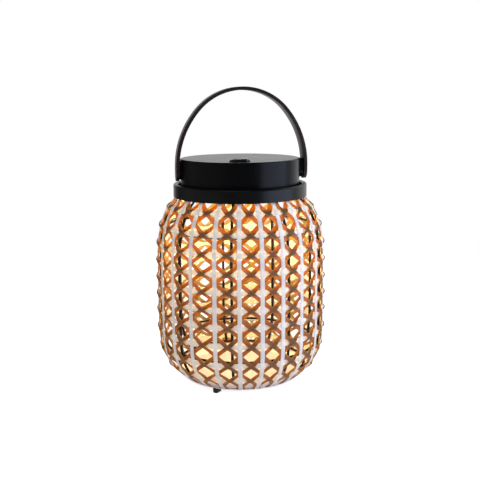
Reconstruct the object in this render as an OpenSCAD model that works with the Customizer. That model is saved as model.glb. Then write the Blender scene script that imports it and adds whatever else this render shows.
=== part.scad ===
// Rechargeable table lantern: a woven strap barrel on a wire frame, a round lamp
// unit in a collar on top, and a carrying bail. Millimetres, +Z up, origin at the
// centre of the footprint, bail axis along X.

/* [Barrel] */
// Inner radius of the weave at its widest
body_r = 100.5; // [95:0.5:106]
// Height of the widest level above the table
waist_z = 93.5; // [88:0.5:105]
// Inner radius of the weave at its lower edge
hem_r = 72; // [70:0.2:76]
// Height of the lower edge above the table
hem_z = 7.5; // [6.5:0.5:9]
// Gap between the collar's skirt and the woven bands at the neck
neck_gap = 2; // [1.6:0.1:2.4]
// Height where the weave enters the collar
neck_z = 226.5; // [222:0.5:231]
// Squareness of the lower shoulder
hem_power = 4.25; // [3.5:0.25:4.5]
// Squareness of the upper shoulder
neck_power = 5.75; // [4.5:0.25:6]

/* [Weave] */
// Number of vertical strips round the barrel
columns = 23; // [21:1:24]
// Number of horizontal bands
rows = 10; // [9:1:10]
// Height of the lowest band above the lower edge
first_row = 14; // [13:0.5:16]
// Angle of the first strip from +X
weave_turn = 8; // [0:0.5:15]
// Thickness of the strap material
tape = 0.5; // [0.4:0.05:0.55]
// Rise from one woven layer to the next
layer = 0.65; // [0.65:0.01:0.7]
// Width of a vertical strip
strip_w = 5; // [4:0.1:5.4]
// Height of a horizontal band
band_h = 5.4; // [4:0.1:5.4]
// Width of a diagonal strap
strap_w = 4.4; // [3.8:0.1:4.5]
// Layers that a strap stands out over a band
crossing_lift = 3.1; // [3.1:0.05:3.6]

/* [Wire frame] */
// Number of upright rods
rods = 9; // [7:1:11]
// Rod and hoop thickness
wire_d = 3; // [2.6:0.1:3.2]
// Angle of the first rod from +X
rod_turn = 14; // [8:0.5:20]
// Gap between the rods and the weave
rod_gap = 1.4; // [1.3:0.1:1.8]
// Height of the lower hoop
low_hoop_z = 46; // [40:0.5:60]
// Height of the upper hoop
high_hoop_z = 189.5; // [175:0.5:195]

/* [Base] */
// Thickness of the base disc
disc_t = 2.5; // [2:0.1:3]
// Radial width of the flat foot of the rim
rim_w = 2.6; // [2:0.1:3.2]
// Height of the rim
rim_h = 10; // [9:0.1:10.5]
// Number of feet
feet = 3; // [3:1:4]
// Foot diameter
foot_d = 7.2; // [6.4:0.2:7.4]
// Distance from a foot's screw to the inside of the rim
foot_inset = 3.9; // [3.8:0.1:6]
// How far a foot reaches out past its screw
foot_reach = 5.5; // [4.5:0.5:5.5]
// Angle of the first foot from +X
foot_turn = -5.5; // [-12:0.5:6]

/* [Collar] */
// Width of the groove between the lamp unit and the collar
groove_w = 3.2; // [3:0.1:4]
// Height of the collar
collar_h = 15.5; // [14.5:0.5:16]
// Wall of the collar skirt
collar_wall = 2.5; // [2:0.1:2.6]
// Radial width of the collar's top rim
collar_rim = 5.5; // [5:0.1:6]
// Radius of the collar's upper edges
collar_round = 2; // [1.6:0.1:2.2]
// Height of the shelf's underside above the collar's lower edge
shelf_rise = 4.5; // [4:0.1:5]
// Thickness of the shelf that carries the lamp unit
shelf_t = 3; // [2.5:0.1:3.2]
// Gap between the diffuser and the opening in the shelf
shelf_gap = 3; // [2.5:0.1:3.2]

/* [Lamp unit] */
// Outer radius of the lamp unit
cap_r = 71.5; // [70.5:0.1:71.5]
// Height of the lamp unit
cap_h = 36.1; // [35:0.1:40]
// Side wall of the lamp unit
cap_wall = 2.5; // [2.3:0.1:2.7]
// Thickness of its top
cap_top_t = 3; // [2.5:0.1:3.5]
// Radius of its upper edge
cap_round = 1.2; // [0.8:0.1:1.6]
// Thickness of the sealing ring
gasket_t = 1.5; // [1.2:0.1:2]
// Thickness of the inner base plate
plate_t = 3.5; // [3:0.1:4]
// Width of the flat ring outside the diffuser
diffuser_margin = 13; // [12.6:0.1:15]
// Wall of the diffuser
diffuser_wall = 2; // [1.5:0.1:2.4]
// Depth of the diffuser
diffuser_h = 7; // [6.5:0.1:9]
// Distance from the edge of the light-source board to the diffuser's outside
led_margin = 10; // [8:1:16]
// Number of light chips
led_count = 12; // [8:1:16]
// Radius of the circle of light chips
led_ring_r = 34; // [26:1:38]

/* [Controls] */
// Direction of the switch pad from +X
pad_turn = 260; // [250:1:280]
// Distance from the middle of the switch pad to the edge of the lamp unit
pad_inset = 18; // [15:0.5:23]
// Length of the switch pad
pad_len = 24; // [22:0.5:28]
// Width of the switch pad
pad_w = 13; // [12.5:0.1:14]
// Height of the switch pad
pad_h = 3; // [2.8:0.1:3.4]
// Radius of the push button's head
button_r = 3.6; // [3.2:0.1:3.8]
// Height of the button above the pad
button_proud = 0.8; // [0.8:0.1:1.2]
// Travel of the button
button_travel = 0.7; // [0.4:0.1:0.7]
// Gap round the button
button_gap = 0.2; // [0.15:0.05:0.3]
// Board thickness
board_t = 1.6; // [1.2:0.2:1.6]
// Width of the control board
board_w = 30; // [28:1:34]
// Gap at each end of the control board
board_end_gap = 8.5; // [8:0.5:10]
// Battery cell diameter
cell_d = 18.4; // [18:0.1:18.6]
// Battery cell length
cell_len = 65; // [60:1:70]

/* [Handle] */
// Length of the spacers between the lamp unit and the bail
spacer_len = 3.4; // [3.2:0.1:4.5]
// Height of the bail's top above its pivots
bail_rise = 100; // [96:0.5:106]
// Height of the straight legs above the pivots
leg_h = 7; // [5:0.5:12]
// Radius of the long side arcs over the rise of the arch
side_bulge = 11.5; // [8:0.5:16]
// How far the bail stands to the right of the middle
bail_shift = 1.7; // [0:0.1:2]
// Strip thickness
bail_t = 4; // [3.5:0.1:4.2]
// Strip width
bail_w = 20; // [16:0.5:20.5]
// Height of the pivots above the top of the collar
pivot_rise = 13.5; // [13.3:0.1:15]
// Pivot pin radius
pin_r = 2.5; // [2:0.1:2.8]
// Running clearance of the pins in the legs
pin_gap = 0.05; // [0.03:0.01:0.09]
// Pin head radius
pin_head_r = 4; // [3.6:0.1:4.4]
// Outer radius of the spacers
spacer_r = 4; // [3.8:0.1:5]

/* [Hidden] */

$fn = 96;
seat = 0.1;        // small clearance between pieces that seat on each other
play = 0.3;        // clearance between pieces that move past each other
far = 400;         // longer than anything it cuts

// Colours of the finishes
black = [0.06, 0.06, 0.065];
bail_black = [0.09, 0.075, 0.07];
cream = [0.95, 0.88, 0.76];
white_tape = [0.93, 0.9, 0.86];
brown_tape = [0.62, 0.38, 0.2];
brown_tape_top = [0.5, 0.34, 0.22];
steel = [0.7, 0.7, 0.72];
opal = [0.98, 0.95, 0.88];
board_green = [0.1, 0.35, 0.2];
rubber = [0.08, 0.08, 0.08];

// Sizes that follow the lamp unit
collar_r = cap_r + groove_w + collar_rim;
neck_r = collar_r - collar_wall - neck_gap;
diffuser_r = cap_r - diffuser_margin;
shelf_hole_r = diffuser_r + shelf_gap;
led_board_r = diffuser_r - led_margin;
pad_r = cap_r - pad_inset;
board_len = 2 * (cap_r - cap_wall - board_end_gap);
bail_r = cap_r + spacer_len + play + bail_t;

// Barrel: radius of the inner face of the woven bands at a height
function barrel_r(z) = z < waist_z
    ? body_r - (body_r - hem_r) * pow((waist_z - z) / (waist_z - hem_z), hem_power)
    : body_r - (body_r - neck_r) * pow((z - waist_z) / (neck_z - waist_z), neck_power);

column_step = 360 / columns;
weave_top = neck_z + 2.3;
row_base = hem_z + first_row;
row_step = (neck_z - row_base) / (rows - 0.5);
function row_z(s) = row_base + s * row_step;
// Heights of a strip's bends, closest together at the two shoulders, so that the
// straight parts between them stray equally far from the curve
strip_bends = 12;
strip_levels = concat([hem_z - 0.4],
    [for (k = [1:strip_bends])
        waist_z - (waist_z - hem_z) * pow(1 - k / strip_bends, 2 / hem_power)],
    [for (k = [1:strip_bends])
        waist_z + (neck_z - waist_z) * pow(k / strip_bends, 2 / neck_power)],
    [weave_top]);

// Wire frame
wire_r = wire_d / 2;
rod_inset = rod_gap + wire_r;
hoop_inset = rod_inset + wire_d + 0.4;
ring_t = 1.6;                                  // flat steel ring under the shelf
shelf_z = neck_z + shelf_rise;
ring_z = shelf_z - ring_t;

// Base
disc_z = hem_z - 0.5;
rim_inner_r = hem_r - 1 - rim_w;
disc_r = rim_inner_r - seat;
rod_low_z = disc_z + rim_h + seat;
rod_levels = concat([rod_low_z],
    [for (z = strip_levels) if (z > rod_low_z + 2 && z < ring_z - 2) z], [ring_z - seat]);
foot_r = rim_inner_r - foot_inset;
bottom_ring_z = rod_low_z + wire_r;
bottom_ring_r = barrel_r(bottom_ring_z) - hoop_inset - 0.5;   // the rods lean here
foot_h = disc_z - seat / 2;
foot_out_h = disc_z - 0.3 - seat;               // where a foot is under the rim

// Lamp unit levels, from the shelf upwards
shelf_top = shelf_z + shelf_t;
cap_z = shelf_top + gasket_t;
cap_top = cap_z + cap_h;
ceiling_z = cap_top - cap_top_t;
plate_r = cap_r - cap_wall + 1;
plate_top = cap_z + plate_t;
cap_inner_r = cap_r - cap_wall;
collar_top = neck_z + collar_h;
post_r = 4.2;
post_len = 16;
post_circle_r = cap_inner_r - post_r + 0.7;
screw_r = 1.5;
screw_bite = 9;                                // how far a cap screw goes into its post
screw_head_r = 2.4;
screw_head_h = 1.8;
lead_hole_x = 28;                              // distance of the lead's holes from the axis
cap_screw_turns = [50, 170, 290];
ring_screw_turns = [rod_turn + 20, rod_turn + 140, rod_turn + 260];
ring_inner_r = post_circle_r + screw_head_r + seat;
ring_outer_r = neck_r;
ring_screw_r = ring_inner_r + 2.35;

// Electronics
board_z = ceiling_z - 6.6;
board_post_r = 3;
board_post_x = board_w / 2 - 4;
board_posts = [[-board_post_x, -30], [board_post_x, -30], [-board_post_x, 34], [board_post_x, 34]];
board_screw_r = 1;
board_screw_bite = 3.6;
cell_z = plate_top + 0.6 + cell_d / 2;
cradle_len = cell_len + 5;
socket_w = 8.9;
socket_h = 3.2;
socket_len = 7.6;
switch_h = 3.6;
plunger_h = 0.8;

// Button
pad_end_r = pad_w / 2;
button_x = pad_len / 2 - pad_end_r;
flange_r = button_r + 1;
flange_t = 0.8;
stem_r = 2;
pocket_h = pad_h - 1;
flange_z = cap_top + pocket_h - play - flange_t;
stem_low_z = board_z + board_t + switch_h + plunger_h + button_travel + play;

// Bail
pivot_z = collar_top + pivot_rise;
leg_x = bail_r - bail_t;
leg_hole_r = pin_r + pin_gap;
arch_rise = bail_rise - leg_h;
side_arc_r = arch_rise + side_bulge;
side_c = bail_r - side_arc_r;
top_arc_r = (side_arc_r * side_arc_r - side_c * side_c - arch_rise * arch_rise)
    / (2 * (side_arc_r - arch_rise));
top_c = arch_rise - top_arc_r;
join_z = side_arc_r * top_c / sqrt(side_c * side_c + top_c * top_c);
head_t = 1.7;
head_sink = 1.5;

function reversed(v) = [for (i = [len(v) - 1:-1:0]) v[i]];

// A thin wall that follows the barrel through some heights, spun round the axis
module barrel_skin(heights, inner, thick) {
    rotate_extrude()
        polygon(concat([for (z = heights) [barrel_r(z) + inner, z]],
            [for (z = reversed(heights)) [barrel_r(z) + inner + thick, z]]));
}

module ring_of(n, turn = 0, r = 0) {
    for (i = [0:n - 1])
        rotate([0, 0, turn + i * 360 / n])
            translate([r, 0, 0])
                children();
}

module wire_hoop(r, z) {
    translate([0, 0, z])
        rotate_extrude()
            translate([r, 0])
                circle(r = wire_r, $fn = 32);
}

// Closed tube from a list of rings with equal numbers of points. The two wide faces
// of a flat strap are split along the same diagonal, the one that leans with it.
module ring_tube(rings, lean = 1) {
    m = len(rings[0]);
    n = len(rings);
    sides = [for (i = [0:n - 2]) for (j = [0:m - 1])
        let (k = (j + 1) % m, a = i * m + j, b = i * m + k, c = a + m, d = b + m)
        each (j < m / 2) == (lean > 0) ? [[a, b, c], [b, d, c]] : [[a, b, d], [a, d, c]]];
    low = [for (j = [1:m - 2]) [0, j + 1, j]];
    high = [for (j = [1:m - 2]) [(n - 1) * m, (n - 1) * m + j, (n - 1) * m + j + 1]];
    polyhedron(points = [for (r = rings) each r], faces = concat(sides, low, high));
}

function polar(r, a, z) = [r * cos(a), r * sin(a), z];

// Feet and base --------------------------------------------------------------

// Round-ended slab from a foot's screw outwards, between two heights
module foot_slab(low, high, r) {
    translate([0, 0, low])
        linear_extrude(high - low)
            union() {
                circle(r = r);
                translate([foot_reach, 0])
                    circle(r = r);
                translate([0, -r])
                    square([foot_reach, 2 * r]);
            }
}

module feet() {
    color(rubber)
        ring_of(feet, foot_turn, foot_r)
            difference() {
                union() {
                    foot_slab(0, 0.8, foot_d / 2 - 0.5);
                    foot_slab(0.8, foot_out_h, foot_d / 2);
                    cylinder(h = foot_h, r = foot_d / 2);
                }
                translate([0, 0, -1])
                    cylinder(h = 3, r = 2);
                cylinder(h = far, r = screw_r + seat / 2);
            }
}

module foot_screws() {
    color(steel)
        ring_of(feet, foot_turn, foot_r) {
            translate([0, 0, 0.5])
                cylinder(h = 1.4, r = 1.9);
            translate([0, 0, 1.8])
                cylinder(h = foot_h + disc_t + 1.6 - 1.8, r = screw_r);
        }
}

module base_disc() {
    color(cream)
        difference() {
            union() {
                translate([0, 0, disc_z])
                    cylinder(h = disc_t, r = disc_r);
                ring_of(feet, foot_turn, foot_r - 0.2)
                    translate([0, 0, disc_z])
                        cylinder(h = disc_t + 2.4, r = 3);
            }
            ring_of(feet, foot_turn, foot_r)
                translate([0, 0, -1])
                    cylinder(h = far, r = screw_r + seat / 2);
            // shallow ring groove under the disc
            translate([0, 0, disc_z - 1])
                difference() {
                    cylinder(h = 1.8, r = foot_r - 8);
                    translate([0, 0, -1])
                        cylinder(h = 4, r = foot_r - 12);
                }
        }
}

// Rim that the lower ends of the weave are bent over
module base_rim() {
    gap = layer + 0.45;
    top = disc_z + rim_h;
    color(cream)
        rotate_extrude()
            polygon([[rim_inner_r, disc_z - 0.3], [barrel_r(hem_z) - gap - 0.8, disc_z - 0.3],
                [barrel_r(hem_z + 1) - gap, hem_z + 1],
                [barrel_r(top) - gap - 0.5, top], [barrel_r(top) - gap - 2.3, top],
                [rim_inner_r, disc_z + disc_t + 0.2]]);
}

// Wire frame -------------------------------------------------------------------

module bottom_ring() {
    color(black)
        wire_hoop(bottom_ring_r, bottom_ring_z);
}

module frame_rods() {
    color(black)
        for (i = [0:rods - 1])
            ring_tube([for (z = rod_levels)
                let (r = barrel_r(z) - rod_inset,
                    a = rod_turn + i * 360 / rods)
                [for (j = [0:5]) let (u = wire_r * cos(60 * j), v = wire_r * sin(60 * j))
                    [(r + u) * cos(a) - v * sin(a), (r + u) * sin(a) + v * cos(a), z]]]);
}

module lower_hoop() {
    color(black)
        wire_hoop(barrel_r(low_hoop_z) - hoop_inset, low_hoop_z);
}

module upper_hoop() {
    color(black)
        wire_hoop(barrel_r(high_hoop_z) - hoop_inset, high_hoop_z);
}

module top_ring() {
    color(black)
        difference() {
            translate([0, 0, ring_z])
                cylinder(h = ring_t, r = ring_outer_r);
            cylinder(h = far, r = ring_inner_r);
            for (a = ring_screw_turns)
                rotate([0, 0, a])
                    translate([ring_screw_r, 0, 0])
                        cylinder(h = far, r = screw_r + seat / 2);
        }
}

// Weave ------------------------------------------------------------------------

module weave_strips() {
    color(white_tape)
        intersection() {
            barrel_skin(strip_levels, layer, tape);
            ring_of(columns, weave_turn)
                translate([0, -strip_w / 2, 0])
                    cube([far, strip_w, far]);
        }
}

module weave_bands() {
    color(white_tape)
        for (k = [0:rows - 1])
            barrel_skin([for (h = [-0.5:0.5:0.5]) row_z(k) + h * band_h], 0, tape);
}

// Half the part of a row, in rows, over which a strap lies flat behind a strip
function flat_half(s) =
    let (run = 2 * PI * barrel_r(row_z(s)) / columns,
        slant = row_step / sqrt(row_step * row_step + run * run))
    (strip_w / 2 + strap_w / 2 / slant) / run + 0.005;

// Heights, in rows, of the bends of a strap
function strap_bends() = concat([(hem_z - 0.4 - row_base) / row_step],
    [for (k = [0:rows - 1]) each [k - 0.5 + flat_half(k - 0.5), k, k + 0.5 - flat_half(k + 0.5)]],
    [rows - 0.28]);

// Cross sections of a strap that climbs one column a row in the sense of dir
function strap_rings(start, dir, up) =
    [for (s = strap_bends()) let (
        z = min(row_z(s), weave_top),
        run = 2 * PI * barrel_r(z) / columns,
        slant = row_step / sqrt(row_step * row_step + run * run),
        over = abs(s - round(s)) < 0.001,
        r = barrel_r(z) + layer * (up + (over ? crossing_lift : -1)),
        a = start + dir * column_step * s,
        half = strap_w / 2 / slant / barrel_r(z) * 180 / PI)
        [polar(r, a - half, z), polar(r + tape, a - half, z),
            polar(r + tape, a + half, z), polar(r, a + half, z)]];

module straps(dir, up) {
    for (i = [0:columns - 1])
        ring_tube(strap_rings(weave_turn + column_step * (i + 0.5), dir, up), dir);
}

module weave_straps_under() {
    color(brown_tape)
        straps(1, 0);
}

module weave_straps_over() {
    color(brown_tape_top)
        straps(-1, 1);
}

// Collar -----------------------------------------------------------------------

module collar() {
    inner = collar_r - collar_wall;
    rim_in = collar_r - collar_rim;
    color(black)
        difference() {
            rotate_extrude() {
                difference() {
                    translate([shelf_hole_r, neck_z])
                        square([collar_r - shelf_hole_r, collar_h - collar_round]);
                    // under the shelf
                    translate([0, neck_z - 1])
                        square([inner, shelf_rise + 1]);
                    // well of the lamp unit
                    translate([0, shelf_top])
                        square([rim_in, collar_h]);
                }
                // rounded rim
                translate([rim_in + collar_round, collar_top - collar_round])
                    circle(r = collar_round);
                translate([collar_r - collar_round, collar_top - collar_round])
                    circle(r = collar_round);
                translate([rim_in + collar_round, collar_top - 2 * collar_round])
                    square([collar_rim - 2 * collar_round, 2 * collar_round]);
            }
            for (a = cap_screw_turns)
                rotate([0, 0, a])
                    translate([post_circle_r, 0, 0])
                        cylinder(h = far, r = screw_r + seat);
            for (a = ring_screw_turns)
                rotate([0, 0, a])
                    translate([ring_screw_r, 0, 0])
                        cylinder(h = shelf_z + 2.4, r = screw_r + seat / 2);
        }
}

// A screw with its head down, the head's seat at z
module up_screw(z, length, head_r, head_h) {
    translate([0, 0, z - head_h])
        difference() {
            cylinder(h = head_h, r = head_r);
            translate([0, 0, -1])
                cylinder(h = 1 + head_h / 2, r = screw_r * 0.8, $fn = 6);
        }
    translate([0, 0, z])
        cylinder(h = length, r = screw_r);
}

module ring_screws() {
    color(steel)
        for (a = ring_screw_turns)
            rotate([0, 0, a])
                translate([ring_screw_r, 0, 0])
                    up_screw(ring_z, ring_t + 2.2, 2, 1.4);
}

// Lamp unit --------------------------------------------------------------------

module gasket() {
    color(rubber)
        difference() {
            translate([0, 0, shelf_top])
                cylinder(h = gasket_t, r = cap_r - 0.2);
            cylinder(h = far, r = shelf_hole_r + 0.5);
            for (a = cap_screw_turns)
                rotate([0, 0, a])
                    translate([post_circle_r, 0, 0])
                        cylinder(h = far, r = screw_r + seat);
        }
}

module pad_outline(grow = 0) {
    for (side = [-1, 1])
        translate([side * button_x, 0])
            circle(r = pad_end_r + grow);
    translate([-button_x, -pad_end_r - grow])
        square([2 * button_x, 2 * (pad_end_r + grow)]);
}

// Moves its children to the switch pad, with X along the pad and -Y outwards
module at_pad() {
    rotate([0, 0, pad_turn + 90])
        translate([0, -pad_r, 0])
            children();
}

module cap_housing() {
    color(black)
        difference() {
            union() {
                difference() {
                    rotate_extrude()
                        difference() {
                            union() {
                                translate([0, cap_z])
                                    square([cap_r, cap_h - cap_round]);
                                translate([0, cap_top - cap_round])
                                    square([cap_r - cap_round, cap_round]);
                                translate([cap_r - cap_round, cap_top - cap_round])
                                    circle(r = cap_round);
                            }
                            translate([0, cap_z - 1])
                                square([cap_inner_r, ceiling_z - cap_z + 1]);
                            translate([0, cap_z - 1])
                                square([plate_r + seat, plate_t + 1]);
                        }
                }
                // posts for the screws that hold the unit to the collar
                for (a = cap_screw_turns)
                    rotate([0, 0, a])
                        translate([post_circle_r, 0, plate_top + seat])
                            cylinder(h = post_len, r = post_r);
                // posts that carry the control board
                rotate([0, 0, pad_turn + 90])
                    for (p = board_posts)
                        translate([p[0], p[1], board_z + board_t])
                            cylinder(h = ceiling_z - board_z - board_t + 0.5, r = board_post_r);
            }
            for (a = cap_screw_turns)
                rotate([0, 0, a])
                    translate([post_circle_r, 0, 0])
                        cylinder(h = plate_top + screw_bite + 2, r = screw_r + seat / 2);
            rotate([0, 0, pad_turn + 90]) {
                for (p = board_posts)
                    translate([p[0], p[1], board_z])
                        cylinder(h = board_t + board_screw_bite + 0.6, r = board_screw_r + seat / 2);
                // window of the charging socket
                translate([-socket_w / 2 - play, cap_inner_r - 3,
                    board_z + board_t - play])
                    cube([socket_w + 2 * play, cap_wall + 6, socket_h + 2 * play]);
            }
            at_pad()
                translate([button_x, 0, ceiling_z - 1])
                    cylinder(h = far, r = stem_r + play);
            // pivot pins
            translate([-far, 0, pivot_z])
                rotate([0, 90, 0])
                    cylinder(h = 2 * far, r = pin_r + seat / 2);
        }
}

module cap_plate() {
    color(cream)
        difference() {
            translate([0, 0, cap_z])
                cylinder(h = plate_t, r = plate_r);
            for (a = cap_screw_turns)
                rotate([0, 0, a])
                    translate([post_circle_r, 0, 0])
                        cylinder(h = far, r = screw_r + seat);
            // wire hole
            translate([0, -lead_hole_x, 0])
                cylinder(h = far, r = 3);
        }
}

module cap_screws() {
    color(steel)
        for (a = cap_screw_turns)
            rotate([0, 0, a])
                translate([post_circle_r, 0, 0])
                    up_screw(shelf_z, plate_top + screw_bite - shelf_z, screw_head_r, screw_head_h);
}

module led_board() {
    color(opal)
        difference() {
            translate([0, 0, cap_z - board_t])
                cylinder(h = board_t, r = led_board_r);
            translate([0, -lead_hole_x, 0])
                cylinder(h = far, r = 2.2);
        }
}

module led_chips() {
    chip = 3.2;
    chip_h = 0.9;
    color("khaki")
        ring_of(led_count, 0, led_ring_r)
            translate([-chip / 2, -chip / 2, cap_z - board_t - chip_h])
                cube([chip, chip, chip_h]);
}

// Opal dish: a short wall with a shallow dome below it
module diffuser() {
    rim = 3;
    dome = diffuser_h - rim;
    outer = (diffuser_r * diffuser_r + dome * dome) / (2 * dome);
    inner_r = diffuser_r - diffuser_wall;
    color(opal)
        translate([0, 0, cap_z - rim])
            rotate_extrude()
                difference() {
                    union() {
                        square([diffuser_r, rim]);
                        dish_section(outer, dome, diffuser_r);
                    }
                    translate([0, diffuser_wall])
                        dish_section(outer, dome, inner_r);
                    translate([0, diffuser_wall - 0.1])
                        square([inner_r, rim]);
                }
}

// Half section of a shallow dome that hangs below Y = 0
module dish_section(curve_r, dome, r) {
    intersection() {
        translate([0, curve_r - dome])
            circle(r = curve_r, $fn = 360);
        translate([0, -dome - 1])
            square([r, dome + 1]);
    }
}

module battery_cell() {
    color([0.2, 0.45, 0.7])
        rotate([0, 0, pad_turn + 90])
            translate([0, 0, cell_z]) {
                translate([-cell_len / 2, 0, 0])
                    rotate([0, 90, 0])
                        cylinder(h = cell_len, r = cell_d / 2);
                translate([cell_len / 2 - 0.1, 0, 0])
                    rotate([0, 90, 0])
                        cylinder(h = 1.2, r = 3.5);
            }
}

module battery_cradle() {
    wall = 2;
    color([0.2, 0.2, 0.2])
        rotate([0, 0, pad_turn + 90])
            difference() {
                translate([-cradle_len / 2 - wall, -cell_d / 2 - wall, plate_top])
                    cube([cradle_len + 2 * wall, cell_d + 2 * wall, cell_d * 0.55]);
                translate([-cradle_len / 2, 0, cell_z])
                    rotate([0, 90, 0])
                        cylinder(h = cradle_len, r = cell_d / 2 + seat);
            }
}

module control_board() {
    color(board_green)
        rotate([0, 0, pad_turn + 90])
            difference() {
                translate([-board_w / 2, -board_len / 2, board_z])
                    cube([board_w, board_len, board_t]);
                for (p = board_posts)
                    translate([p[0], p[1], 0])
                        cylinder(h = far, r = board_screw_r + seat);
            }
}

module board_screws() {
    color(steel)
        rotate([0, 0, pad_turn + 90])
            for (p = board_posts)
                translate([p[0], p[1], board_z]) {
                    translate([0, 0, -board_screw_r * 1.2])
                        cylinder(h = board_screw_r * 1.2, r = board_screw_r * 1.9);
                    cylinder(h = board_t + board_screw_bite, r = board_screw_r);
                }
}

module tact_switch() {
    color([0.25, 0.25, 0.27])
        at_pad()
            translate([button_x, 0, board_z + board_t]) {
                translate([-3, -3, 0])
                    cube([6, 6, switch_h]);
                cylinder(h = switch_h + plunger_h, r = 1.7);
            }
}

module charge_socket() {
    wall = 0.4;
    color(steel)
        rotate([0, 0, pad_turn + 90])
            translate([-socket_w / 2, cap_r - 1.2 - socket_len, board_z + board_t])
                difference() {
                    cube([socket_w, socket_len, socket_h]);
                    translate([wall, 1.5, wall])
                        cube([socket_w - 2 * wall, socket_len, socket_h - 2 * wall]);
                }
}

module switch_pad() {
    color(rubber)
        at_pad()
            difference() {
                union() {
                    translate([0, 0, cap_top])
                        linear_extrude(pad_h - 0.8)
                            pad_outline();
                    translate([0, 0, cap_top + pad_h - 0.8])
                        linear_extrude(0.8)
                            pad_outline(-0.7);
                }
                translate([button_x, 0, cap_top - 1])
                    cylinder(h = 1 + pocket_h, r = flange_r + play);
                translate([button_x, 0, 0])
                    cylinder(h = far, r = button_r + button_gap);
            }
}

module switch_button() {
    top = cap_top + pad_h + button_proud;
    dome = 0.5;
    dome_r = (button_r * button_r + dome * dome) / (2 * dome);
    color([0.12, 0.13, 0.15])
        at_pad()
            translate([button_x, 0, 0]) {
                translate([0, 0, stem_low_z])
                    cylinder(h = flange_z - stem_low_z + 0.1, r = stem_r);
                translate([0, 0, flange_z])
                    cylinder(h = flange_t, r = flange_r);
                translate([0, 0, flange_z])
                    cylinder(h = top - dome - flange_z, r = button_r);
                intersection() {
                    translate([0, 0, top - dome_r])
                        sphere(r = dome_r);
                    translate([0, 0, top - dome - 0.2])
                        cylinder(h = dome + 1, r = button_r);
                }
            }
}

// Handle -----------------------------------------------------------------------

// Local +Z runs outwards along +X for the right side, -X for the left
module at_pivot(side) {
    translate([0, 0, pivot_z])
        rotate([0, side * 90, 0])
            children();
}

module pivot_pin(side) {
    low = cap_inner_r - 4.6;
    head = bail_r + side * bail_shift - head_sink;
    color(steel)
        at_pivot(side) {
            translate([0, 0, low])
                cylinder(h = head - low + 0.1, r = pin_r);
            translate([0, 0, head + 0.1])
                cylinder(h = head_t - 0.1, r = pin_head_r);
        }
}

module pivot_spacer(side) {
    color(black)
        at_pivot(side)
            difference() {
                translate([0, 0, cap_r])
                    cylinder(h = spacer_len + side * bail_shift, r = spacer_r);
                cylinder(h = far, r = pin_r + seat / 2);
            }
}

module pivot_nut(side) {
    t = 2.6;
    flat = cap_inner_r * cos(asin(4.6 / cap_inner_r)) - seat;
    color(steel)
        at_pivot(side)
            difference() {
                translate([0, 0, flat - t])
                    cylinder(h = t, r = 4.6, $fn = 6);
                cylinder(h = far, r = pin_r + seat / 2);
            }
}

module left_pin() {
    pivot_pin(-1);
}

module right_pin() {
    pivot_pin(1);
}

module left_spacer() {
    pivot_spacer(-1);
}

module right_spacer() {
    pivot_spacer(1);
}

module left_nut() {
    pivot_nut(-1);
}

module right_nut() {
    pivot_nut(1);
}

// Filled three-centred arch on straight legs, inset by a thickness
module arch(inset) {
    intersection_for(side = [-1, 1])
        translate([side * side_c, leg_h])
            intersection() {
                circle(r = side_arc_r - inset, $fn = 180);
                translate([-far, 0])
                    square([2 * far, join_z]);
            }
    intersection() {
        translate([0, leg_h + top_c])
            circle(r = top_arc_r - inset, $fn = 180);
        translate([-far, leg_h + join_z])
            square([2 * far, far]);
    }
    translate([-bail_r + inset, -1])
        square([2 * (bail_r - inset), leg_h + 1]);
}

// Round end of a leg, from X = 0 outwards, with its straight top inside the leg
module leg_end() {
    overlap = 1;
    rotate([90, 0, 90])
        linear_extrude(bail_t)
            difference() {
                union() {
                    circle(r = bail_w / 2);
                    translate([-bail_w / 2, 0])
                        square([bail_w, overlap]);
                }
                translate([-far, overlap])
                    square([2 * far, far]);
            }
}

module bail() {
    color(bail_black)
        translate([bail_shift, 0, 0])
            difference() {
                union() {
                    translate([0, bail_w / 2, pivot_z])
                        rotate([90, 0, 0])
                            linear_extrude(bail_w)
                                difference() {
                                    arch(0);
                                    arch(bail_t);
                                    translate([-far, -far])
                                        square([2 * far, far]);
                                }
                    for (x = [-bail_r, leg_x])
                        translate([x, 0, pivot_z])
                            leg_end();
                }
                translate([-far, 0, pivot_z])
                    rotate([0, 90, 0])
                        cylinder(h = 2 * far, r = leg_hole_r);
                for (side = [-1, 1])
                    at_pivot(side)
                        translate([0, 0, bail_r - head_sink])
                            cylinder(h = far, r = pin_head_r + play);
            }
}

feet();
foot_screws();
base_disc();
base_rim();
bottom_ring();
frame_rods();
lower_hoop();
upper_hoop();
top_ring();
weave_strips();
weave_bands();
weave_straps_under();
weave_straps_over();
collar();
ring_screws();
gasket();
cap_housing();
cap_plate();
cap_screws();
led_board();
led_chips();
diffuser();
battery_cell();
battery_cradle();
control_board();
board_screws();
tact_switch();
charge_socket();
switch_pad();
switch_button();
left_pin();
right_pin();
left_spacer();
right_spacer();
left_nut();
right_nut();
bail();
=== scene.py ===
"""A woven strap lantern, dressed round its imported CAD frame. Metres, +Z up."""
import math

import bmesh
import bpy
from bpy.props import FloatProperty, FloatVectorProperty, IntProperty, PointerProperty
from mathutils import Matrix, Vector, noise


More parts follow.
